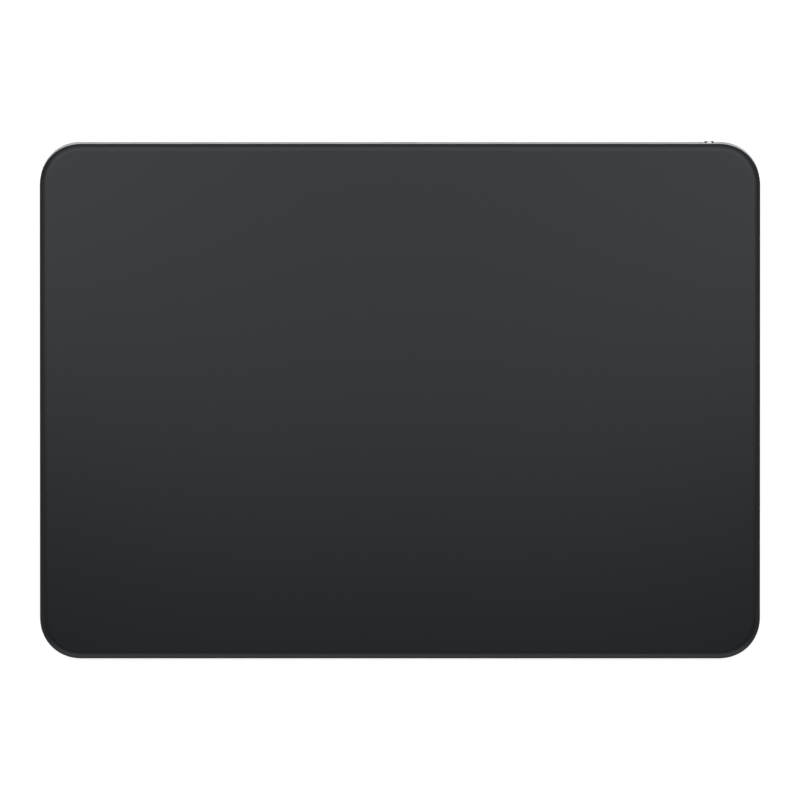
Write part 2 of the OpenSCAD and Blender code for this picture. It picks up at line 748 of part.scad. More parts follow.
module bottom_cover() {
    color("#b9bbbd") difference() {
        translate([0, skirt_y, cover_low])
            linear_extrude(cover_t) level_outline(case_inset + skirt_t + cover_gap);
        for (x = [-foot_x, foot_x], y = [foot_front, foot_rear])
            translate([x, y, 0]) cylinder(d = foot_d + 2 * foot_gap, h = 2 * cover_high);
    }
}

module cover_adhesive() {
    outer = case_inset + skirt_t + 2 * cover_gap;
    color("#151515") translate([0, skirt_y, cover_high + seat_gap])
        linear_extrude(cover_bond_t) difference() {
            level_outline(outer);
            level_outline(outer + cover_bond_w);
        }
}

module foot_pad(side, y) {
    color("#8f9193") translate([side * foot_x, y, 0]) mirror([0, 0, 1])
        rotate_extrude() rolled_profile(foot_d / 2, foot_h, foot_edge_w, foot_edge_h);
}

module plunger(side, y) {
    color("#a9abad") translate([side * foot_x, y, 0]) {
        translate([0, 0, plunger_low]) cylinder(d = plunger_d, h = plunger_h);
        translate([0, 0, plunger_low]) cylinder(d = stud_d, h = rivet_low + rivet_h - plunger_low);
        translate([0, 0, rivet_low]) cylinder(d = rivet_d, h = rivet_h);
    }
}

module leaf(side, y) {
    color("#b4b6b8") translate([0, y, leaf_low]) linear_extrude(leaf_t) difference() {
        translate([side * (leaf_end + foot_x - leaf_tip) / 2, 0])
            square([leaf_end - foot_x + leaf_tip, leaf_w], center = true);
        translate([side * foot_x, 0]) circle(d = stud_d + 2 * screw_gap);
        for (row = [-1, 1]) {
            translate([side * leaf_screw_x, row * leaf_screw_y]) circle(d = screw_d + 2 * screw_gap);
            translate([side * waist_x, row * leaf_w / 2]) circle(waist_r);
        }
    }
}

module leaf_screws() {
    color("#8d8f92") for (side = [-1, 1], y = [foot_front, foot_rear], row = [-1, 1])
        translate([side * leaf_screw_x, y + row * leaf_screw_y, leaf_low - seat_gap])
            screw(leaf_t + 2 * seat_gap);
}

module strain_gauges() {
    color("#c9a25a") for (side = [-1, 1], y = [foot_front, foot_rear])
        translate([side * waist_x, y, gauge_low + gauge_t / 2])
            cube([gauge_w, gauge_w, gauge_t], center = true);
}

module force_ribbon() {
    riser = depth_at(drop_u, force_low);
    riser_y = level_y(drop_u, riser);
    color("#b9772e") {
        for (side = [-1, 1]) translate([side * waist_x, 0, (force_low + force_high) / 2])
            translate([0, (foot_front + foot_rear) / 2, 0])
                cube([force_w, foot_rear - foot_front + gauge_w, ribbon_t], center = true);
        between([-waist_x, riser_y - force_w, force_low], [waist_x, riser_y, force_high]);
        on_slope() {
            layer([force_plug - ribbon_w / 2, force_plug + ribbon_w / 2], [drop_u - ribbon_t, drop_u],
                  [plug_level - ribbon_t, riser - ribbon_t / 2]);
            layer([force_plug - ribbon_w / 2, force_plug + ribbon_w / 2],
                  [drop_u - ribbon_t, plug_face - seat_gap], [plug_level - ribbon_t, plug_level]);
        }
    }
}

module battery(side) {
    color("#3a3c40") on_slope() translate([side * cell_x, cell_u, -cell_top - cell_t])
        linear_extrude(cell_t) rounded(cell_w, cell_d, cell_r);
}

module battery_adhesive() {
    color("#e8e8e4") on_slope() for (side = [-1, 1])
        translate([side * cell_x, cell_u, -under_deck - cell_bond_t])
            linear_extrude(cell_bond_t)
                rounded(cell_w - 2 * cell_bond_in, cell_d - 2 * cell_bond_in, cell_r);
}

module battery_guard() {
    color("#24513a") on_slope() {
        layer([guard_end - guard_l, guard_end], [guard_u, guard_u + guard_d],
              [under_deck, under_deck + guard_t]);
        for (i = [0, 1])
            translate([guard_end - guard_l + guard_chip + i * guard_pitch, 0, 0])
                layer([-guard_chip / 2, guard_chip / 2], [link_u, guard_u + guard_d - guard_gap],
                      [under_deck + guard_t / 2, under_deck + guard_t + chip_h]);
    }
}

module battery_link() {
    reach = cell_x - cell_w / 4;
    band = guard_d - 2 * guard_gap;
    color("#c7c9cb") on_slope() {
        layer([guard_end + seat_gap, reach], [link_u, link_u + band],
              [under_deck, under_deck + ribbon_t]);
        layer([reach - ribbon_w, reach], [cell_edge + seat_gap, link_u + band],
              [under_deck, under_deck + ribbon_t]);
        layer([reach - ribbon_w, reach], [cell_edge + seat_gap, cell_edge + seat_gap + ribbon_t],
              [under_deck, cell_top + cell_t / 2]);
    }
}

module battery_lead() {
    color("#b9772e") drop_ribbon(battery_plug, link_u, under_deck + guard_t + seat_gap);
}

module main_board() {
    color("#1c4a34") on_slope() difference() {
        layer([-board_x - board_w, -board_x], [board_front, board_rear], [board_top, board_low]);
        for (p = board_holes) translate([p[0], p[1], -board_low - over])
            cylinder(d = screw_d + 2 * screw_gap, h = board_t + 2 * over);
    }
}

module main_chips() {
    left = -board_x - board_w;
    color("#202022") on_slope() {
        layer([left + cpu_x, left + cpu_x + cpu_w], [board_rear - cpu_rear - cpu_w, board_rear - cpu_rear],
              [chip_top, chip_top + chip_h]);
        for (i = [0 : 3])
            translate([left + cpu_x + i * part_pitch, plug_face + plug_d + plug_gap, 0])
                layer([0, part_w], [0, part_w], [chip_top, chip_top + chip_h / 2]);
        translate([-board_x - can_x - can_w / 2, board_rear - can_rear - can_d / 2, 0])
            layer([-radio_w / 2, radio_w / 2], [-radio_w / 2, radio_w / 2], [chip_top, chip_top + chip_h]);
    }
}

module shield_can() {
    right = -board_x - can_x;
    rear = board_rear - can_rear;
    color("#bfc1c3") on_slope() difference() {
        layer([right - can_w, right], [rear - can_d, rear], [chip_top, chip_top + can_h]);
        layer([right - can_w + can_t, right - can_t], [rear - can_d + can_t, rear - can_t],
              [chip_top - over, chip_top + can_h - can_t]);
    }
}

module board_connectors() {
    color("#e4ddcc") on_slope() {
        for (x = [battery_plug, touch_plug, force_plug, act_plug])
            layer([x - plug_l / 2, x + plug_l / 2], [plug_face, plug_face + plug_d],
                  [chip_top, chip_top + plug_h]);
        layer(socket_plug_x(), socket_plug_u(), [chip_top, port_depth + socket_plug_drop]);
    }
}

function socket_plug_x() = [-board_x - socket_plug_in - plug_d, -board_x - socket_plug_in];
function socket_plug_u() = [board_front + socket_plug_front, board_front + socket_plug_front + ribbon_w];

module board_screws() {
    color("#8d8f92") slope_screws(board_holes, board_low + seat_gap, board_t + 2 * seat_gap);
}

function act_holes() = [for (x = [-act_hole, act_hole], u = [-act_d / 4, act_d / 4]) [x, act_u + u]];

module actuator_base() {
    color("#9ea0a3") on_slope() difference() {
        union() {
            layer([-act_w / 2 - act_ear, act_w / 2 + act_ear], [act_u - act_d / 2, act_u + act_d / 2],
                  [under_deck, act_base_low]);
            for (side = [-1, 1])
                translate([side * (spring_x + arm_spring_t / 2 + seat_gap + post_w / 2),
                           act_u + side * spring_end, -(under_deck + arm_low) / 2])
                    cube([post_w, post_d, arm_low - under_deck], center = true);
        }
        for (p = act_holes()) translate([p[0], p[1], -act_base_low - over])
            cylinder(d = screw_d + 2 * screw_gap, h = act_base_t + 2 * over);
    }
}

module actuator_coils() {
    color("#b06a35") on_slope() for (side = [-1, 1])
        translate([side * (coil_w + coil_gap) / 2, act_u, -coil_top - coil_h])
            linear_extrude(coil_h) difference() {
                rounded(coil_w, coil_d, coil_band + coil_r);
                rounded(coil_w - 2 * coil_band, coil_d - 2 * coil_band, coil_r);
            }
}

module armature() {
    color("#6d7074") on_slope() {
        translate([0, act_u, -arm_low]) linear_extrude(arm_h) rounded(arm_w, arm_d, arm_r);
        for (side = [-1, 1])
            translate([side * arm_w / 2, act_u - side * (arm_d / 2 - lug_w), -arm_low + arm_h / 2])
                cube([2 * lug_l, lug_w, arm_h], center = true);
    }
}

module armature_magnets() {
    pitch = coil_w + (coil_gap - coil_band) / 2;
    color("#d3d4d6") on_slope() for (x = [-pitch, 0, pitch])
        translate([x, act_u, -magnet_top - magnet_h / 2])
            cube([magnet_w, magnet_d, magnet_h], center = true);
}

module arm_spring(side) {
    fixed = spring_end + post_d / 2;
    free = arm_d / 2 - lug_w / 2;
    color("#c3c5c8") on_slope()
        translate([side * spring_x, act_u + side * (fixed - free) / 2, -arm_low + arm_h / 2])
            cube([arm_spring_t, fixed + free, arm_h], center = true);
}

module actuator_lid() {
    color("#b2b4b7") on_slope() difference() {
        layer([-act_w / 2, act_w / 2], [act_u - act_d / 2, act_u + act_d / 2],
              [act_base_low + seat_gap, lid_low]);
        layer([-act_w / 2 + act_lid_t, act_w / 2 - act_lid_t],
              [act_u - act_d / 2 + act_lid_t, act_u + act_d / 2 - act_lid_t],
              [act_base_low - over, lid_low - act_lid_t]);
        layer([act_plug - ribbon_w / 2 - pocket_gap, act_plug + ribbon_w / 2 + pocket_gap],
              [act_u, act_u + act_d],
              [act_base_low - over, act_base_low + act_ribbon_drop + ribbon_t + pocket_gap]);
    }
}

module actuator_screws() {
    color("#8d8f92")
        slope_screws(act_holes(), act_base_low + seat_gap, act_base_t + 2 * seat_gap);
}

module actuator_ribbon() {
    color("#b9772e")
        drop_ribbon(act_plug, act_u + coil_d / 2 + pocket_gap, act_base_low + act_ribbon_drop);
}

module socket_liner() {
    color("#5b5d60") on_slope() difference() {
        pill_bar(port_w + 2 * liner_t, port_h + 2 * liner_t, rear_u - port_wall + seat_gap,
                 rear_u - liner_sink, port_depth);
        pill_bar(port_w, port_h, rear_u - port_wall - over, rear_u + over, port_depth);
    }
}

module socket_insert() {
    front = port_back + port_l;
    color("#2a2b2d") on_slope() difference() {
        layer([-insert_w / 2, insert_w / 2], [port_back, front],
              [port_depth - insert_h / 2, port_depth + insert_h / 2]);
        pill_bar(port_w, port_h, front - port_reach, front + over, port_depth);
    }
}

module socket_contacts() {
    color("#d6b46a") on_slope() for (i = [-3.5 : 1 : 3.5])
        translate([i * contact_pitch, port_back + port_l - port_reach + seat_gap + contact_l / 2,
                   -port_depth - port_h / 2 + seat_gap + contact_t / 2])
            cube([contact_w, contact_l, contact_t], center = true);
}

module socket_shell() {
    color("#bfc1c3") on_slope() difference() {
        layer([-shell_w / 2, shell_w / 2], [port_back + shell_back, port_back + port_l],
              [port_depth - shell_h / 2, port_depth + shell_h / 2]);
        layer([-insert_w / 2 - seat_gap, insert_w / 2 + seat_gap], [port_back - over, rear_u],
              [port_depth - insert_h / 2 - seat_gap, port_depth + insert_h / 2 + seat_gap]);
    }
}

module socket_strap() {
    side = shell_w / 2 + seat_gap;
    foot = port_depth + shell_h / 2 + seat_gap;
    u = [strap_u, strap_u + strap_d];
    color("#a3a5a8") on_slope() difference() {
        union() {
            layer([-side - strap_t, side + strap_t], u, [strap_top, foot + strap_t]);
            layer([-side - strap_t - strap_ear, side + strap_t + strap_ear], u,
                  [strap_top, strap_top + strap_t]);
        }
        layer([-side, side], [u[0] - over, u[1] + over], [strap_top - over, foot]);
        for (x = [-strap_hole, strap_hole])
            translate([x, strap_u + strap_d / 2, -strap_top - over])
                cylinder(d = screw_d + 2 * screw_gap, h = 2 * over);
    }
}

module socket_screws() {
    color("#8d8f92") slope_screws([for (x = [-strap_hole, strap_hole]) [x, strap_u + strap_d / 2]],
                                  strap_top + strap_t + seat_gap, strap_t + 2 * seat_gap);
}

module socket_ribbon() {
    u = socket_plug_u();
    depths = [port_depth, port_depth + ribbon_t];
    color("#b9772e") on_slope() {
        layer([-ribbon_w / 2, ribbon_w / 2], [u[0], port_back - seat_gap], depths);
        layer([socket_plug_x()[1] + seat_gap, ribbon_w / 2], u, depths);
    }
}

module antenna_carrier() {
    rear = board_rear;
    color("#d9d6cd") on_slope() {
        layer([antenna_x, antenna_x + antenna_l], [rear - antenna_d, rear],
              [under_deck, under_deck + antenna_h]);
        layer([antenna_x, antenna_x + tab_w], [rear - antenna_d - tab_d, rear],
              [under_deck, under_deck + antenna_h / 2]);
    }
}

module antenna_foil() {
    rear = board_rear - foil_in;
    front = board_rear - antenna_d + foil_in;
    right = antenna_x + antenna_l - foil_in;
    left = antenna_x + foil_in;
    face = under_deck + antenna_h + seat_gap;
    color("#c98a4b") on_slope() {
        layer([left, right], [rear - foil_w, rear], [face, face + foil_t]);
        for (x = [left, left + 3 * foil_w])
            layer([x, x + foil_w], [front, rear], [face, face + foil_t]);
        layer([right - foil_w, right], [front + foil_w, rear], [face, face + foil_t]);
    }
}

module antenna_cable() {
    u = board_rear - antenna_d - tab_d / 2;
    depth = chip_top + coax_d / 2;
    tab_low = under_deck + antenna_h / 2 + seat_gap;
    color("#3b3c3f") on_slope() {
        translate([-board_x - coax_lap, u, -depth]) rotate([0, 90, 0])
            cylinder(d = coax_d, h = board_x + coax_lap + antenna_x + tab_w / 2);
        translate([antenna_x + tab_w / 2, u, -depth]) {
            sphere(d = coax_d);
            cylinder(d = coax_d, h = depth - tab_low);
        }
    }
}

module switch_slider() {
    back = housing_face + pocket_gap;
    fork = lever_w / 2 + slide_gap;
    depths = [switch_depth - plate_h / 2, switch_depth + plate_h / 2];
    color("#b8babc") on_slope() difference() {
        union() {
            layer([plate_left, plate_right], [slider_back, slider_face], depths);
            translate([nub_x, 0, 0]) pill_bar(nub_w, nub_h, slider_back, rear_u + nub_out, switch_depth);
            layer([lever_x - fork - finger_t, lever_x + fork + finger_t], [back, slider_face],
                  [switch_depth - nub_h / 2, switch_depth + nub_h / 2]);
        }
        layer([lever_x - fork, lever_x + fork], [back - over, slider_back],
              [switch_depth - nub_h, switch_depth + nub_h]);
        layer(flag_x(seat_gap), [slider_face - flag_t - seat_gap, slider_face + over], flag_d(seat_gap));
    }
}

function flag_x(gap) = [slot_right + lap - gap, plate_right - slider_lap + gap];
function flag_d(gap) = [switch_depth - slot_h / 2 - gap, switch_depth + slot_h / 2 + gap];

module switch_flag() {
    color("#3fae4a") on_slope()
        layer(flag_x(0), [slider_face - flag_t, slider_face], flag_d(0));
}

module switch_lever() {
    shoe_back = housing_back + housing_t + slide_gap;
    color("#1d1d1f") on_slope() {
        layer([lever_x - lever_w / 2, lever_x + lever_w / 2], [shoe_back, slider_back - slide_gap],
              [switch_depth - shoe_h / 2, switch_depth + shoe_h / 2]);
        layer([lever_x - shoe_w / 2, lever_x + shoe_w / 2],
              [shoe_back, housing_face - housing_t - slide_gap],
              [switch_depth - shoe_h / 2, switch_depth + shoe_h / 2]);
    }
}

module switch_housing() {
    lever_left = lever_x - lever_w / 2 - switch_travel - slide_gap;
    lever_right = lever_x + lever_w / 2 + slide_gap;
    inner = [switch_depth - shoe_h / 2 - slide_gap, switch_depth + shoe_h / 2 + slide_gap];
    color("#3c3d40") on_slope() difference() {
        layer([housing_left, housing_right], [housing_back, housing_face],
              [housing_top, housing_top + housing_h]);
        layer([housing_left + housing_t, housing_right - housing_t],
              [housing_back + housing_t, housing_face - housing_t], inner);
        layer([lever_left, lever_right], [housing_back + housing_t, housing_face + over], inner);
    }
}

module switch_bracket() {
    u = [housing_back, housing_face];
    color("#a3a5a8") on_slope() difference() {
        union() {
            layer([lip_left - bracket_ear, lip_right + bracket_ear], u, [bracket_top, bracket_low]);
            layer([lip_left, lip_left + bracket_t], u, [bracket_top, housing_top + lip_h]);
            layer([lip_right - bracket_t, lip_right], u, [bracket_top, housing_top + lip_h]);
        }
        for (x = switch_holes()) translate([x, bracket_u, -bracket_low - over])
            cylinder(d = screw_d + 2 * screw_gap, h = bracket_t + 2 * over);
    }
}

module switch_screws() {
    color("#8d8f92") slope_screws([for (x = switch_holes()) [x, bracket_u]],
                                  bracket_low + seat_gap, bracket_t + 2 * seat_gap);
}

module switch_ribbon() {
    u = board_front + switch_ribbon_front;
    right = housing_left + housing_t + switch_ribbon_w;
    back = housing_back - seat_gap;
    high = [under_deck, under_deck + ribbon_t];
    drop_x = -board_x + pass_gap;
    color("#b9772e") on_slope() {
        layer([drop_x, right], [u, u + switch_ribbon_w], high);
        layer([right - switch_ribbon_w, right], [u, back], high);
        layer([right - switch_ribbon_w, right], [back - ribbon_t, back],
              [under_deck, switch_depth + housing_h / 4]);
        layer([drop_x, drop_x + ribbon_t], [u, u + switch_ribbon_w],
              [under_deck, board_top - seat_gap]);
        layer([-board_x - switch_ribbon_lap, drop_x + ribbon_t], [u, u + switch_ribbon_w],
              [board_top - seat_gap - ribbon_t, board_top - seat_gap]);
    }
}

cover_glass();
glass_adhesive();
touch_board();
touch_chips();
touch_ribbon();
case();
bottom_cover();
cover_adhesive();
foot_pad(-1, foot_front);  // foot_pad_front_left
foot_pad(1, foot_front);  // foot_pad_front_right
foot_pad(-1, foot_rear);  // foot_pad_rear_left
foot_pad(1, foot_rear);  // foot_pad_rear_right
plunger(-1, foot_front);  // plunger_front_left
plunger(1, foot_front);  // plunger_front_right
plunger(-1, foot_rear);  // plunger_rear_left
plunger(1, foot_rear);  // plunger_rear_right
leaf(-1, foot_front);  // leaf_front_left
leaf(1, foot_front);  // leaf_front_right
leaf(-1, foot_rear);  // leaf_rear_left
leaf(1, foot_rear);  // leaf_rear_right
leaf_screws();
strain_gauges();
force_ribbon();
battery(-1);  // battery_left
battery(1);  // battery_right
battery_adhesive();
battery_guard();
battery_link();
battery_lead();
main_board();
main_chips();
shield_can();
board_connectors();
board_screws();
actuator_base();
actuator_coils();
armature();
armature_magnets();
arm_spring(-1);  // spring_left
arm_spring(1);  // spring_right
actuator_lid();
actuator_screws();
actuator_ribbon();
socket_liner();
socket_insert();
socket_contacts();
socket_shell();
socket_strap();
socket_screws();
socket_ribbon();
antenna_carrier();
antenna_foil();
antenna_cable();
switch_slider();
switch_flag();
switch_lever();
switch_housing();
switch_bracket();
switch_screws();
switch_ribbon();
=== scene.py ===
"""A wireless desk trackpad: a sloping satin black glass plate on a silver aluminium case."""
import math

import bmesh
import bpy
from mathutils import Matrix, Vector


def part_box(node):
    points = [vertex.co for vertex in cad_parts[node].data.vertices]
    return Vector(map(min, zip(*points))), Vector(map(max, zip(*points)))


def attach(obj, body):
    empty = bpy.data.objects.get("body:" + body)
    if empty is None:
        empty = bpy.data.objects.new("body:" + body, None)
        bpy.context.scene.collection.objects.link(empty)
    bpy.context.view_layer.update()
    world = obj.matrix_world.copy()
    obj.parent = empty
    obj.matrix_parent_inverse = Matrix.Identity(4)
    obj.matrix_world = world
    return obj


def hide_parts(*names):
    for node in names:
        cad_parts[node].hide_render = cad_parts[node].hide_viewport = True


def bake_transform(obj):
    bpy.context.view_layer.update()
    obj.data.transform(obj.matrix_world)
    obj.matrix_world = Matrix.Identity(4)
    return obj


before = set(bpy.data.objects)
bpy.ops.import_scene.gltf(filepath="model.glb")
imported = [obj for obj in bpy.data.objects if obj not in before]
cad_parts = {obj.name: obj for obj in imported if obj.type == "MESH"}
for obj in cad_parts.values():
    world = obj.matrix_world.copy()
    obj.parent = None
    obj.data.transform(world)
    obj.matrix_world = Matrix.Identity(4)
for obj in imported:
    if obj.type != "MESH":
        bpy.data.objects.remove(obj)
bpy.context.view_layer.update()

# Case. The body of the trackpad is milled from one aluminium block: a wedge-shaped wall, a deck under the
# glass and the bosses that the inside is screwed to. It is bead-blasted and clear anodised, and shows as the
# silver edge behind the glass.
noise_low, noise_high, noise_detail = 0.3, 0.7, 3.0


def linear(code):
    """The linear colour of an sRGB hex value."""
    parts = [int(code[i:i + 2], 16) / 255 for i in (1, 3, 5)]
    return [p / 12.92 if p <= 0.04045 else ((p + 0.055) / 1.055) ** 2.4 for p in parts] + [1.0]


def add(tree, kind, inputs, **settings):
    """Adds one node with its settings; an input is either a value or the socket that feeds it."""
    made = tree.nodes.new(kind)
    for name, value in settings.items():
        setattr(made, name, value)
    for name, value in inputs.items():
        if isinstance(value, bpy.types.NodeSocket):
            tree.links.new(value, made.inputs[name])
        else:
            made.inputs[name].default_value = value
    return made


def grained(name, dark, light, grain, rough, spread, relief, metallic=0.0, stretch=(1, 1, 1)):
    """A finish whose colour, roughness and relief follow one fine noise; grain and relief are in mm."""
    made = bpy.data.materials.new(name)
    made.use_nodes = True
    tree = made.node_tree
    shader = tree.nodes["Principled BSDF"]
    shader.inputs["Metallic"].default_value = metallic
    place = add(tree, "ShaderNodeTexCoord", {}).outputs["Object"]
    scale = [1000 / grain / s for s in stretch]
    place = add(tree, "ShaderNodeVectorMath", {0: place, 1: scale}, operation="MULTIPLY").outputs[0]
    noise = add(tree, "ShaderNodeTexNoise", {"Vector": place, "Scale": 1.0, "Detail": noise_detail})
    height = noise.outputs["Fac"]
    tint = add(tree, "ShaderNodeMixRGB", {"Fac": height, "Color1": linear(dark), "Color2": linear(light)})
    gloss = add(tree, "ShaderNodeMapRange", {"Value": height, "From Min": noise_low, "From Max": noise_high,
                                             "To Min": rough - spread, "To Max": rough + spread})
    bump = add(tree, "ShaderNodeBump", {"Height": height, "Strength": 1.0, "Distance": relief / 1000})
    tree.links.new(tint.outputs[0], shader.inputs["Base Color"])
    tree.links.new(gloss.outputs[0], shader.inputs["Roughness"])
    tree.links.new(bump.outputs[0], shader.inputs["Normal"])
    return made


def dress(material, *names):
    """Gives CAD nodes their finish."""
    for name in names:
        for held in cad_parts[name].material_slots:
            held.material = material


# Bead-blasted, clear anodised aluminium: an even silver sheen without streaks. The blasted dimples are about
# 0.1 mm across and are drawn at 0.3 mm to show.
anodised = grained("anodised_aluminium", "#c3c5c8", "#cfd1d3", grain=0.3, rough=0.42, spread=0.05,
                   relief=0.009, metallic=1.0)
dress(anodised, "case")

# Cover glass. One sheet of glass, printed black behind, acid-etched to a satin face and ground to a rolled
# edge all round. It is bonded to the rim of the case, and its rear edge stands back a hair from the wall.
mm = 0.001
pad_w, pad_d = 160.0, 114.55
corner_reach, corner_power = 9.3, 2.1
front_h, rear_h, mid_y = 4.9, 10.9, -0.3387
slope = math.asin((rear_h - front_h) / pad_d)
mid_z = (front_h + rear_h) / 2
glass_t, roll_w, roll_h, roll_start, edge_break = 1.15, 1.6, 0.65, 4.0, 0.12
rear_gap = 0.09
corner_steps, roll_steps = 24, 14
sharp_angle = math.radians(30)
quarters = [(1, 1), (-1, 1), (-1, -1), (1, -1)]


def on_slope(x, u, depth):
    """A point of the tilted glass plane in metres: x across, u up the slope, depth below the face."""
    return (x * mm, (mid_y + u * math.cos(slope) + depth * math.sin(slope)) * mm,
            (mid_z + u * math.sin(slope) - depth * math.cos(slope)) * mm)


def outline(inset):
    """The outline of the glass, drawn in by an inset; its corners are a little fuller than a circle's."""
    points = []
    radius = corner_reach - inset
    for quarter, (sx, sy) in enumerate(quarters):
        for step in range(corner_steps + 1):
            turn = math.radians(90 * (quarter + step / corner_steps))
            bend_x = radius * abs(math.cos(turn)) ** (2 / corner_power)
            bend_u = radius * abs(math.sin(turn)) ** (2 / corner_power)
            points.append((sx * (pad_w / 2 - corner_reach + bend_x),
                           sy * (pad_d / 2 - corner_reach + bend_u) - (rear_gap if sy > 0 else 0)))
    return points


def loft(bm, rings, closed=True):
    """Skins rings of points with the same count, with a cap on each end if closed."""
    laid = [[bm.verts.new(p) for p in ring] for ring in rings]
    count = len(laid[0])
    for low, high in zip(laid, laid[1:]):
        for i in range(count):
            bm.faces.new((low[i], low[(i + 1) % count], high[(i + 1) % count], high[i]))
    if closed:
        bm.faces.new(list(reversed(laid[0])))
        bm.faces.new(laid[-1])


def piece(name, bm, material):
    """Makes a smooth-shaded object of a mesh; sharp edges stay sharp."""
    bmesh.ops.recalc_face_normals(bm, faces=bm.faces)
    mesh = bpy.data.meshes.new(name)
    bm.to_mesh(mesh)
    bm.free()
    mesh.shade_smooth()
    mesh.set_sharp_from_angle(angle=sharp_angle)
    made = bpy.data.objects.new(name, mesh)
    bpy.context.scene.collection.objects.link(made)
    made.data.materials.append(material)
    return made


# The rolled edge is an arc that leaves the face at a small angle and ends on the upright rim.
roll_low = math.radians(roll_start)
roll_high = 2 * math.atan2(roll_h, roll_w) - roll_low
roll_r = roll_w / (math.sin(roll_high) - math.sin(roll_low))
profile = [(edge_break, glass_t), (0.0, glass_t - edge_break)]
for step in range(roll_steps + 1):
    turn = roll_high + (roll_low - roll_high) * step / roll_steps
    profile.append((roll_w - roll_r * (math.sin(turn) - math.sin(roll_low)),
                    roll_r * (math.cos(roll_low) - math.cos(turn))))

# Satin-etched glass over black print: a dark, even face with a soft sheen. The etch is about 0.02 mm across,
# far too fine to show, and is drawn at 0.35 mm with almost no relief.
etched = grained("etched_black_glass", "#111213", "#131415", grain=0.35, rough=0.32, spread=0.02,
                 relief=0.0006)
glass_shader = etched.node_tree.nodes["Principled BSDF"]
glass_shader.inputs["IOR"].default_value = 1.5
glass_shader.inputs["Specular Tint"].default_value = linear("#f4fbff")
bm = bmesh.new()
loft(bm, [[on_slope(x, u, depth) for x, u in outline(inset)] for inset, depth in profile])
glass = piece("glass_plate", bm, etched)
weighted = glass.modifiers.new("even_face", "WEIGHTED_NORMAL")
weighted.keep_sharp = True
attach(glass, "chassis")
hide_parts("cover_glass")

# Bonding tape. Frames of black pressure-sensitive tape, die-cut from a roll, hold the glass to the rim of
# the case and the bottom cover to its ledge.

# Black acrylic tape: a dull, dark edge with the slight tooth of its foam, about 0.4 mm.
tape = grained("black_bonding_tape", "#0c0c0c", "#161616", grain=0.4, rough=0.7, spread=0.1, relief=0.01)
dress(tape, "glass_adhesive", "cover_adhesive")

# Circuit boards. The touch board is bonded under the glass, the main board is screwed to bosses of the case
# and a small guard board lies behind the battery. Each is woven glass laminate, with etched copper under a
# green mask.
wave_period = 0.31416  # one band of a wave texture at scale 1
line_low, line_high = 0.45, 0.6
board_pitch, patch, along_x, along_y = 0.55, 3.2, 0.38, 0.62


def inlay(material, pattern, code, low, high):
    """Lays a second colour into a finish where a pattern is between low and high."""
    tree = material.node_tree
    base = tree.nodes["Principled BSDF"].inputs["Base Color"]
    share = add(tree, "ShaderNodeMapRange", {"Value": pattern, "From Min": low, "From Max": high})
    mixed = add(tree, "ShaderNodeMixRGB", {"Fac": share.outputs[0], "Color1": base.links[0].from_socket,
                                           "Color2": linear(code)})
    tree.links.new(mixed.outputs[0], base)


def stripes(material, axis, pitch, code, share=1.0):
    """Lays lines of a second colour into a finish, pitch mm apart along an axis, where the share is 1."""
    tree = material.node_tree
    place = add(tree, "ShaderNodeTexCoord", {}).outputs["Object"]
    bands = add(tree, "ShaderNodeTexWave", {"Vector": place, "Scale": wave_period / (pitch * mm)},
                bands_direction=axis)
    shown = add(tree, "ShaderNodeMath", {0: bands.outputs["Fac"], 1: share}, operation="MULTIPLY")
    inlay(material, shown.outputs[0], code, line_low, line_high)


# Solder-masked laminate: a satin green with copper tracks under it as paler lines. Real tracks are about
# 0.15 mm apart; they are drawn 0.55 mm apart, in 3.2 mm patches that run one way, the other or not at all.
solder_mask = grained("solder_masked_laminate", "#1f4c36", "#275740", grain=0.8, rough=0.38, spread=0.06,
                      relief=0.004)
tree = solder_mask.node_tree
place = add(tree, "ShaderNodeTexCoord", {}).outputs["Object"]
patches = add(tree, "ShaderNodeTexVoronoi", {"Vector": place, "Scale": 1 / (patch * mm)},
              distance="CHEBYCHEV", voronoi_dimensions="2D")
chance = add(tree, "ShaderNodeSeparateColor", {"Color": patches.outputs["Color"]}).outputs["Red"]
for axis, test, limit in [("X", "LESS_THAN", along_x), ("Y", "GREATER_THAN", along_y)]:
    share = add(tree, "ShaderNodeMath", {0: chance, 1: limit}, operation=test)
    stripes(solder_mask, axis, board_pitch, "#437d54", share.outputs[0])
dress(solder_mask, "touch_board", "main_board", "battery_guard")

# Chips. Packages of black epoxy, moulded round their silicon under heat and pressure. They are soldered to
# the touch board and the main board.

# Moulded epoxy: charcoal and matt, with the 0.2 mm skin that an eroded mould leaves.
epoxy = grained("moulded_black_epoxy", "#232324", "#2b2b2d", grain=0.2, rough=0.6, spread=0.08, relief=0.004)
dress(epoxy, "touch_chips", "main_chips")

# Connectors. Small mouldings of filled resin, soldered to the main board near its edges. The ribbons end in
# them.

# Moulded ivory resin: a warm off-white with a soft gloss and a fine 0.3 mm flow grain.
ivory = grained("moulded_ivory_resin", "#ddd6c4", "#e6e0d0", grain=0.3, rough=0.48, spread=0.06,
                relief=0.004)
dress(ivory, "board_connectors")

# Shield, shells and brackets. Pressed from thin steel sheet and plated: the can over the chips, the socket's
# shell and strap, the switch's bracket, and the actuator's base and lid.

# Plated sheet steel: a cool grey with faint rolling lines, 0.25 mm wide and twelve times as long.
sheet_steel = grained("plated_sheet_steel", "#a9abad", "#bdbfc1", grain=0.25, rough=0.34, spread=0.08,
                      relief=0.002, metallic=1.0, stretch=(12, 1, 1))
dress(sheet_steel, "shield_can", "socket_shell", "socket_strap", "switch_bracket", "actuator_base",
      "actuator_lid")

# Battery. Two flat cells in laminated pouches stick to the deck with white foam tape. A strip of nickel, cut
# from a roll and bent, joins one of them to the guard board.

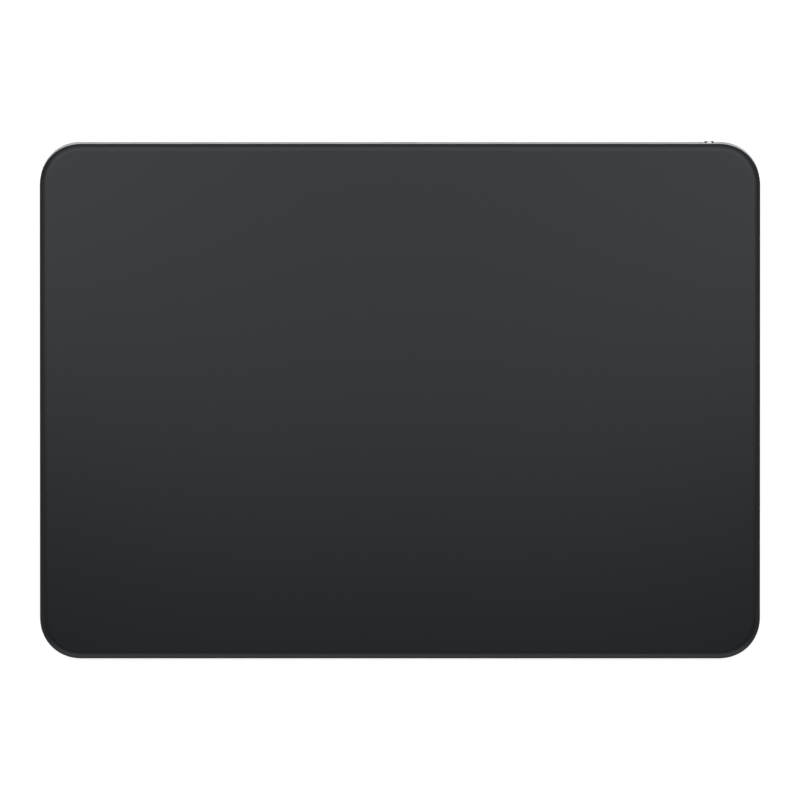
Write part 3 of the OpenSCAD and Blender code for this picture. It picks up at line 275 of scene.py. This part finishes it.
# Laminated pouch under black film: dark grey, with the slack 1.5 mm puckers of a vacuum-sealed bag.
pouch = grained("laminated_cell_pouch", "#3c3d40", "#46474a", grain=1.5, rough=0.42, spread=0.08,
                relief=0.02)
# White foam tape: chalky and dull, with open cells of about 0.3 mm at its cut edge.
foam = grained("white_foam_tape", "#e2e2de", "#eeeeea", grain=0.3, rough=0.85, spread=0.05, relief=0.02)
# Rolled nickel: a warm bright grey with long fine rolling lines, 0.2 mm wide.
nickel = grained("rolled_nickel", "#bcbdbe", "#cbccce", grain=0.2, rough=0.3, spread=0.06, relief=0.002,
                 metallic=1.0, stretch=(14, 1, 1))
dress(pouch, "battery_left", "battery_right")
dress(foam, "battery_adhesive")
dress(nickel, "battery_link")

# Actuator. Two flat coils, wound from enamelled wire, are glued under the base. They drive a heavy sintered
# armature, with magnets glued on top of it, from side to side. That makes the click.
coil_w, coil_d, coil_x, coil_u = 12.0, 13.0, 6.4, 19.075
coil_top, coil_h, coil_band, coil_r = 3.41, 0.7, 3.0, 3.6
turns, layers, wire_steps, coil_bend = 10, 2, 6, 6
wire_w, wire_h = coil_band / turns, coil_h / layers
same_point = 1e-7
# Enamelled copper: a warm red-brown gloss, even along the wire; the turns themselves are in the mesh.
copper = grained("enamelled_copper_winding", "#b56a3c", "#cb8150", grain=0.12, rough=0.3, spread=0.08,
                 relief=0.002, metallic=1.0)
# Sintered tungsten: dark grey metal with the dry 0.15 mm grain of pressed powder.
tungsten = grained("sintered_tungsten", "#66686b", "#74767a", grain=0.15, rough=0.45, spread=0.08,
                   relief=0.006, metallic=1.0)
# Nickel-plated magnet: bright and smooth, with a barely rippled plating.
plating = grained("nickel_plated_magnet", "#c4c5c7", "#d0d1d3", grain=0.5, rough=0.18, spread=0.05,
                  relief=0.001, metallic=1.0)
dress(tungsten, "armature")
dress(plating, "armature_magnets")
# The outline of the stacked wires: half a wire for each turn above, a quarter for each layer at the sides.
section = []
for turn in range(turns):
    for step in range(wire_steps):
        angle = math.pi * step / wire_steps
        section.append(((turn + 0.5 - 0.5 * math.cos(angle)) * wire_w,
                        (0.5 - 0.5 * math.sin(angle)) * wire_h))
for step in range(wire_steps // 2):
    angle = math.pi * step / wire_steps
    section.append((coil_band - (0.5 - 0.5 * math.cos(angle)) * wire_w,
                    (0.5 + 0.5 * math.sin(angle)) * wire_h))
section.append((coil_band - wire_w / 2, coil_h / 2))
for step in range(wire_steps // 2 - 1, 0, -1):
    inset, depth = section[turns * wire_steps + step]
    section.append((inset, coil_h - depth))
section += [(coil_band - inset, coil_h - depth) for inset, depth in section]
bm = bmesh.new()
for side in (-1, 1):
    rings = []
    for inset, depth in section:
        ring = []
        bend = coil_r - inset
        for quarter, (sx, sy) in enumerate(quarters):
            for step in range(coil_bend + 1):
                angle = math.radians(90 * (quarter + step / coil_bend))
                ring.append(on_slope(side * coil_x + sx * (coil_w / 2 - coil_r) + bend * math.cos(angle),
                                     coil_u + sy * (coil_d / 2 - coil_r) + bend * math.sin(angle),
                                     coil_top + depth))
        rings.append(ring)
    loft(bm, rings + rings[:1], closed=False)
bmesh.ops.remove_doubles(bm, verts=bm.verts, dist=same_point)
winding = piece("coil_windings", bm, copper)
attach(winding, "chassis")
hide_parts("actuator_coils")

# Armature springs. Two upright strips, cut from rolled spring steel, tie the armature to posts of the base,
# one at each end. Each bows as the armature shuttles.
spring_steps = 24
# Rolled spring steel: a clean bright grey with long rolling lines, 0.2 mm wide.
spring_steel = grained("rolled_spring_steel", "#b0b2b4", "#c2c4c6", grain=0.2, rough=0.28, spread=0.07,
                       relief=0.0015, metallic=1.0, stretch=(15, 1, 1))
for name, x, fixed_u, free_u in [("left", -14.82, 11.6, 23.1), ("right", 14.82, 26.6, 15.1)]:
    lo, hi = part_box("spring_" + name)
    half = ((hi[2] - lo[2]) - (hi[1] - lo[1]) * math.tan(slope)) / 2
    rings = []
    for step in range(spring_steps + 1):
        y = lo[1] + (hi[1] - lo[1]) * step / spring_steps
        mid = (lo[2] + hi[2]) / 2 + (y - (lo[1] + hi[1]) / 2) * math.tan(slope)
        rings.append([(lo[0], y, mid - half), (hi[0], y, mid - half),
                      (hi[0], y, mid + half), (lo[0], y, mid + half)])
    bm = bmesh.new()
    loft(bm, rings)
    strip = piece("spring_strip_" + name, bm, spring_steel)
    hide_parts("spring_" + name)
    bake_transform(strip)

# Charging socket. A liner of dark resin is pressed into the rear wall and edges the mouth. Behind it a
# moulded insert carries a row of spring contacts, stamped and plated with gold.

# Moulded dark resin: near black, with a soft gloss on a 0.2 mm mould skin.
resin = grained("moulded_dark_resin", "#2a2a2c", "#323234", grain=0.2, rough=0.45, spread=0.08, relief=0.003)
# Gold plating: a deep warm yellow, almost mirror smooth.
gold = grained("gold_plated_contact", "#d9b35c", "#e4c274", grain=0.3, rough=0.22, spread=0.05, relief=0.001,
               metallic=1.0)
dress(resin, "socket_liner", "socket_insert")
dress(gold, "socket_contacts")

# Antenna. A moulded carrier of the connectors' resin sits under the deck, close to the rear wall. Copper
# foil is stuck to it, and a thin coaxial cable with an extruded jacket runs from it to the main board.

# Copper foil: an orange gleam with slight 0.4 mm hand-pressed ripples.
foil = grained("copper_foil", "#bf7445", "#d08a5a", grain=0.4, rough=0.3, spread=0.06, relief=0.002,
               metallic=1.0)
# Extruded jacket: black and waxy, with a faint drawn skin.
jacket = grained("extruded_black_jacket", "#333336", "#3d3d40", grain=0.4, rough=0.5, spread=0.08,
                 relief=0.004)
dress(ivory, "antenna_carrier")
dress(foil, "antenna_foil")
dress(jacket, "antenna_cable")

# Slide switch. A moulded slider runs inside the rear wall; its metallised nub shows in the slot, and its two
# fingers hold the lever of the electrical switch. Pushed over, it brings a green patch into the slot.
plate_x, plate_u, plate_d = (64.805, 72.545), (55.31, 56.11), (4.58, 7.02)
plate_r, plate_break = 0.3, 0.1
pocket_x, pocket_u, pocket_d, pocket_r = (69.875, 72.065), 55.99, (5.06, 6.54), 0.05
nub_x, nub_u, nub_d = (67.675, 69.675), 57.61, (5.2, 6.4)
nub_r, nub_edge, nub_steps = 0.6, 0.16, 10
finger_x, finger_u = [(67.25, 67.95), (69.39, 70.09)], 53.23
finger_r, finger_break = 0.12, 0.08
lap, least_bend, ring_steps = 0.02, 0.02, 4
shade_start, shade_full = 0.03, 0.3
# Moulded grey resin: a plain dark grey with a soft gloss on a 0.2 mm mould skin.
slider_resin = grained("moulded_grey_resin", "#5a5b5d", "#646567", grain=0.2, rough=0.45, spread=0.06,
                       relief=0.003)
# Metallised resin: a bright silver film with a slight sparkle, to match the case. Where the nub rounds off
# at either end, its sideways-facing surface is painted the grey of the resin as painted shade.
plated = grained("metallised_resin_with_painted_shade", "#dcddde", "#e6e7e8", grain=0.2, rough=0.3, spread=0.05, relief=0.002,
                 metallic=1.0)
tree = plated.node_tree
# Painted shade: the further a face of the nub turns sideways, the more resin grey is painted over the
# silver.
facing = add(tree, "ShaderNodeTexCoord", {}).outputs["Normal"]
sideways = add(tree, "ShaderNodeSeparateXYZ", {"Vector": facing}).outputs["X"]
shaded_ends = add(tree, "ShaderNodeMath", {0: sideways}, operation="ABSOLUTE")
inlay(plated, shaded_ends.outputs[0], "#5a5b5d", shade_start, shade_full)
# Printed patch: a clear flat green ink with a fine 0.3 mm screen texture.
green = grained("printed_green_patch", "#37a542", "#44b44f", grain=0.3, rough=0.45, spread=0.05,
                relief=0.002)
dress(green, "switch_flag")
dress(resin, "switch_lever", "switch_housing")


def frame_ring(x, depth, inset, radius, u, steps=ring_steps):
    """A rounded rectangle that stands across the slope at u."""
    points = []
    centre_x, centre_d = (x[0] + x[1]) / 2, (depth[0] + depth[1]) / 2
    half_x, half_d = (x[1] - x[0]) / 2 - inset, (depth[1] - depth[0]) / 2 - inset
    bend = max(radius - inset, least_bend)
    for quarter, (sx, sd) in enumerate(quarters):
        for step in range(steps + 1):
            turn = math.radians(90 * (quarter + step / steps))
            points.append(on_slope(centre_x + sx * (half_x - bend) + bend * math.cos(turn), u,
                                   centre_d + sd * (half_d - bend) + bend * math.sin(turn)))
    return points


bm = bmesh.new()
loft(bm, [frame_ring(plate_x, plate_d, plate_break, plate_r, plate_u[0]),
          frame_ring(plate_x, plate_d, 0, plate_r, plate_u[0] + plate_break),
          frame_ring(plate_x, plate_d, 0, plate_r, plate_u[1] - plate_break),
          frame_ring(plate_x, plate_d, plate_break, plate_r, plate_u[1]),
          frame_ring(pocket_x, pocket_d, 0, pocket_r, plate_u[1]),
          frame_ring(pocket_x, pocket_d, 0, pocket_r, pocket_u)])
for span in finger_x:
    loft(bm, [frame_ring(span, nub_d, finger_break, finger_r, finger_u),
              frame_ring(span, nub_d, 0, finger_r, finger_u + finger_break),
              frame_ring(span, nub_d, 0, finger_r, plate_u[0] + lap)])
slider = piece("slider_moulding", bm, slider_resin)
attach(slider, "slider")
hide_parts("switch_slider")
bm = bmesh.new()
rings = [frame_ring(nub_x, nub_d, 0, nub_r, plate_u[1] - lap, nub_steps)]
for step in range(nub_steps + 1):
    turn = math.radians(90 * step / nub_steps)
    rings.append(frame_ring(nub_x, nub_d, nub_edge * (1 - math.cos(turn)), nub_r,
                            nub_u - nub_edge * (1 - math.sin(turn)), nub_steps))
loft(bm, rings)
nub = piece("slider_nub", bm, plated)
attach(nub, "slider")

# Leaf springs. Each foot is held by a waisted strip of the same spring steel, screwed to the case at its
# outer end. It is blanked with two screw holes and one for the plunger's stud, and bends at the waist.
corners = [("front_left", -1, -43.275), ("front_right", 1, -43.275),
           ("rear_left", -1, 43.275), ("rear_right", 1, 43.275)]
leaf_in, leaf_out, leaf_w, leaf_low, leaf_t = 58.4, 76.0, 7.0, 2.05, 0.4
waist_x, waist_r, leaf_step = 68.55, 1.4, 0.4
holes = [(62.0, 0.0, 1.3), (73.8, 1.75, 0.7), (73.8, -1.75, 0.7)]
hole_steps = 20
edge = []
count = round((leaf_out - leaf_in) / leaf_step)
for step in range(count + 1):
    x = leaf_in + (leaf_out - leaf_in) * step / count
    notch = math.sqrt(max(0.0, waist_r ** 2 - (x - waist_x) ** 2))
    edge.append((x, leaf_w / 2 - notch))
loops = [edge + [(x, -w) for x, w in reversed(edge)]]
for hole_x, hole_y, hole_r in holes:
    angles = [math.tau * step / hole_steps for step in range(hole_steps)]
    loops.append([(hole_x + hole_r * math.cos(a), hole_y + hole_r * math.sin(a)) for a in angles])
for corner, side, y in corners:
    bm = bmesh.new()
    for loop in loops:
        laid = [bm.verts.new((side * px * mm, (y + py) * mm, leaf_low * mm)) for px, py in loop]
        for first, second in zip(laid, laid[1:] + laid[:1]):
            bm.edges.new((first, second))
    bmesh.ops.triangle_fill(bm, use_beauty=True, use_dissolve=False, edges=bm.edges[:])
    raised = bmesh.ops.extrude_face_region(bm, geom=bm.faces[:], use_keep_orig=True)
    bmesh.ops.translate(bm, vec=(0, 0, leaf_t * mm),
                        verts=[v for v in raised["geom"] if isinstance(v, bmesh.types.BMVert)])
    strip = piece("leaf_strip_" + corner, bm, spring_steel)
    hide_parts("leaf_" + corner)
    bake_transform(strip)

# Feet. Each is a round pad of grey elastomer, moulded onto a pressed steel plunger; the plunger's stud is
# riveted through the leaf spring.

# Moulded elastomer: a soft matt grey with a fine 0.4 mm skin from the mould.
elastomer = grained("grey_elastomer", "#7f8183", "#8c8e90", grain=0.4, rough=0.82, spread=0.06, relief=0.012)
for corner, side, y in corners:
    dress(elastomer, "foot_pad_" + corner)
    dress(sheet_steel, "plunger_" + corner)

# Strain gauges. Etched foil on film, glued under the waist of each leaf, measures the force on the foot; the
# foil runs to and fro in fine lines.
gauge_pitch = 0.24
# Foil gauge: golden film with grey metal lines. Real lines are about 0.1 mm apart and are drawn at 0.24 mm.
gauge = grained("etched_foil_gauge", "#c08f3e", "#cb9d4d", grain=0.2, rough=0.4, spread=0.08,
                relief=0.002)
stripes(gauge, "X", gauge_pitch, "#9aa0a4")
dress(gauge, "strain_gauges")

# Ribbons. Thin polyimide film with etched copper tracks laminated inside joins the boards, the gauges, the
# socket, the switch and the actuator. Each row of the loop gives where a ribbon's run turns, in x and y.
track_pitch, track_copper = 0.5, "#8a4f22"
no_leg = 80.0
for name, leg_x, turn_y in [("force", 67.25, 34.45), ("socket", no_leg, 41.73), ("switch", no_leg, 43.5),
                            ("straight", 0.0, 0.0)]:
    # Polyimide film: clear amber with a satin face; the tracks show through as darker stripes along the run.
    ribbon = grained("polyimide_film_" + name, "#b0722f", "#bf843e", grain=0.5, rough=0.36, spread=0.06,
                     relief=0.002)
    tree = ribbon.node_tree
    place = add(tree, "ShaderNodeTexCoord", {}).outputs["Object"]
    place = add(tree, "ShaderNodeSeparateXYZ", {"Vector": place})
    aside = add(tree, "ShaderNodeMath", {0: place.outputs["X"]}, operation="ABSOLUTE")
    on_leg = add(tree, "ShaderNodeMath", {0: aside.outputs[0], 1: leg_x * mm}, operation="GREATER_THAN")
    turned = add(tree, "ShaderNodeMath", {0: place.outputs["Y"], 1: turn_y * mm}, operation="GREATER_THAN")
    along = add(tree, "ShaderNodeMath", {0: on_leg.outputs[0], 1: turned.outputs[0]}, operation="MAXIMUM")
    across = add(tree, "ShaderNodeMath", {0: 1.0, 1: along.outputs[0]}, operation="SUBTRACT")
    stripes(ribbon, "X", track_pitch, track_copper, along.outputs[0])
    stripes(ribbon, "Y", track_pitch, track_copper, across.outputs[0])
    if name == "straight":
        dress(ribbon, "touch_ribbon", "battery_lead", "actuator_ribbon")
    else:
        dress(ribbon, name + "_ribbon")

# Screws. Small turned steel screws, plated dark, hold the leaves, the main board, the actuator, the socket
# and the switch to bosses of the case.

# Plated screw steel: a darker, smooth grey with faint turning marks of 0.15 mm.
screw_steel = grained("plated_screw_steel", "#85878a", "#97999c", grain=0.15, rough=0.32, spread=0.06,
                      relief=0.002, metallic=1.0)
dress(screw_steel, "leaf_screws", "board_screws", "actuator_screws", "socket_screws", "switch_screws")

# Bottom cover. A flat moulded sheet of grey polycarbonate with four round holes for the feet closes the
# case. It is bonded to a ledge, a hair's breadth inside the skirt.

# Grained polycarbonate: an even pale grey, kept from shining by a 0.25 mm mould grain.
polycarbonate = grained("grained_polycarbonate", "#b3b5b6", "#bdbfc0", grain=0.25, rough=0.52, spread=0.06,
                        relief=0.006)
dress(polycarbonate, "bottom_cover")

# Studio floor. A sheet of white paper under the pads, which keeps the object's shadow. It shows white to the
# camera, dimmer to reflections, and isn't there from below.
floor_size, floor_cells, floor_drop = 4.0, 8, 0.02
camera_glow = 0.68
ray_glow = [("Is Transmission Ray", 0.8), ("Is Glossy Ray", 0.05), ("Is Diffuse Ray", 0.5)]
floor_mesh = bpy.data.meshes.new("floor")
bm = bmesh.new()
bmesh.ops.create_grid(bm, x_segments=floor_cells, y_segments=floor_cells, size=floor_size)
bm.to_mesh(floor_mesh)
bm.free()
floor = bpy.data.objects.new("floor", floor_mesh)
floor.location.z = -floor_drop * mm
bpy.context.scene.collection.objects.link(floor)
paper = bpy.data.materials.new("white_paper_floor")
paper.use_nodes = True
tree = paper.node_tree
tree.nodes.remove(tree.nodes["Principled BSDF"])
path = add(tree, "ShaderNodeLightPath", {})
glow = add(tree, "ShaderNodeMath", {0: path.outputs["Is Camera Ray"], 1: camera_glow}, operation="MULTIPLY")
for ray, share in ray_glow:
    glow = add(tree, "ShaderNodeMath", {0: path.outputs[ray], 1: share, 2: glow.outputs[0]},
               operation="MULTIPLY_ADD")
pale = add(tree, "ShaderNodeEmission", {"Color": linear("#ffffff"), "Strength": glow.outputs[0]})
sheet = add(tree, "ShaderNodeBsdfDiffuse", {"Color": linear("#e6e6e6")})
lit = add(tree, "ShaderNodeAddShader", {0: pale.outputs[0], 1: sheet.outputs[0]})
clear = add(tree, "ShaderNodeBsdfTransparent", {})
below = add(tree, "ShaderNodeNewGeometry", {}).outputs["Backfacing"]
shown = add(tree, "ShaderNodeMixShader", {0: below, 1: lit.outputs[0], 2: clear.outputs[0]})
tree.links.new(shown.outputs[0], tree.nodes["Material Output"].inputs["Surface"])
floor.data.materials.append(paper)

# Studio room. Plain walls, bright near the floor and dark overhead, which the glass and the metal reflect.
# The camera sees white in their place.
room_levels = [(0.0, 0.95), (0.12, 0.75), (0.3, 0.5), (0.87, 0.16), (1.0, 0.02)]
world = bpy.data.worlds.new("studio")
bpy.context.scene.world = world
world.use_nodes = True
tree = world.node_tree
path = add(tree, "ShaderNodeLightPath", {})
toward = add(tree, "ShaderNodeTexCoord", {}).outputs["Generated"]
height = add(tree, "ShaderNodeSeparateXYZ", {"Vector": toward}).outputs["Z"]
room = add(tree, "ShaderNodeValToRGB", {"Fac": height})
while len(room.color_ramp.elements) < len(room_levels):
    room.color_ramp.elements.new(0.5)
for stop, (position, level) in zip(room.color_ramp.elements, room_levels):
    stop.position = position
    stop.color = (level, level, level, 1.0)
shown = add(tree, "ShaderNodeMixRGB", {"Fac": path.outputs["Is Camera Ray"], "Color1": room.outputs["Color"],
                                       "Color2": linear("#ffffff")})
tree.links.new(shown.outputs[0], tree.nodes["Background"].inputs["Color"])


# Studio lights. A large soft light over the rear half, with panels round it, gives the glass its slow fade
# from rear to front. A low strip before the pad lights the front edge. Places and sizes are in metres.
def softbox(name, place, aim, size, level, shape="RECTANGLE"):
    """A soft light of even brightness, aimed at a point and left out of the camera's sight."""
    lamp = bpy.data.lights.new(name, "AREA")
    lamp.shape = shape
    lamp.size, lamp.size_y = size
    lamp.energy = level * math.pi * size[0] * size[1] * (1 if shape == "RECTANGLE" else math.pi / 4)
    made = bpy.data.objects.new(name, lamp)
    made.location = place
    made.rotation_euler = (Vector(aim) - Vector(place)).to_track_quat("-Z", "Y").to_euler()
    made.visible_camera = False
    bpy.context.scene.collection.objects.link(made)


softbox("rear_softbox", place=(0, 0.147, 0.27), aim=(0, 0.147, 0), size=(0.48, 0.40), level=0.92,
        shape="ELLIPSE")
softbox("rear_panel", place=(0, 0.155, 0.265), aim=(0, 0.155, 0), size=(0.5, 0.16), level=0.42)
for side in (-1, 1):
    softbox("front_panel", place=(side * 0.05, -0.055, 0.26), aim=(side * 0.05, -0.055, 0),
            size=(0.07, 0.07), level=0.24)
    softbox("side_panel", place=(side * 0.2, 0.01, 0.27), aim=(side * 0.08, 0.01, 0),
            size=(0.1, 0.2), level=0.6)
    softbox("rear_corner_panel", place=(side * 0.115, 0.072, 0.26), aim=(side * 0.115, 0.072, 0),
            size=(0.13, 0.145), level=0.36)
softbox("front_fill", place=(0, -0.15, 0.27), aim=(0, -0.06, 0), size=(0.22, 0.05), level=0.15)
softbox("front_strip", place=(0, -0.45, 0.31), aim=(0, 0, 0), size=(0.9, 0.28), level=0.7)

# Camera. It looks straight down from far away through a long lens, as the photograph was taken, so that the
# sides of the pad stay parallel.
lens_distance, frame_w, frame_y = 7.8, 0.1777, -0.069
sensor_w, far_limit = 36.0, 40.0
camera = bpy.data.cameras.new("camera")
camera.sensor_width = sensor_w
camera.lens = sensor_w * lens_distance / frame_w
camera.clip_end = far_limit
eye = bpy.data.objects.new("camera", camera)
eye.location = (0, frame_y * mm, lens_distance + mid_z * mm)
bpy.context.scene.collection.objects.link(eye)
bpy.context.scene.camera = eye
bpy.context.scene.view_settings.view_transform = "Standard"
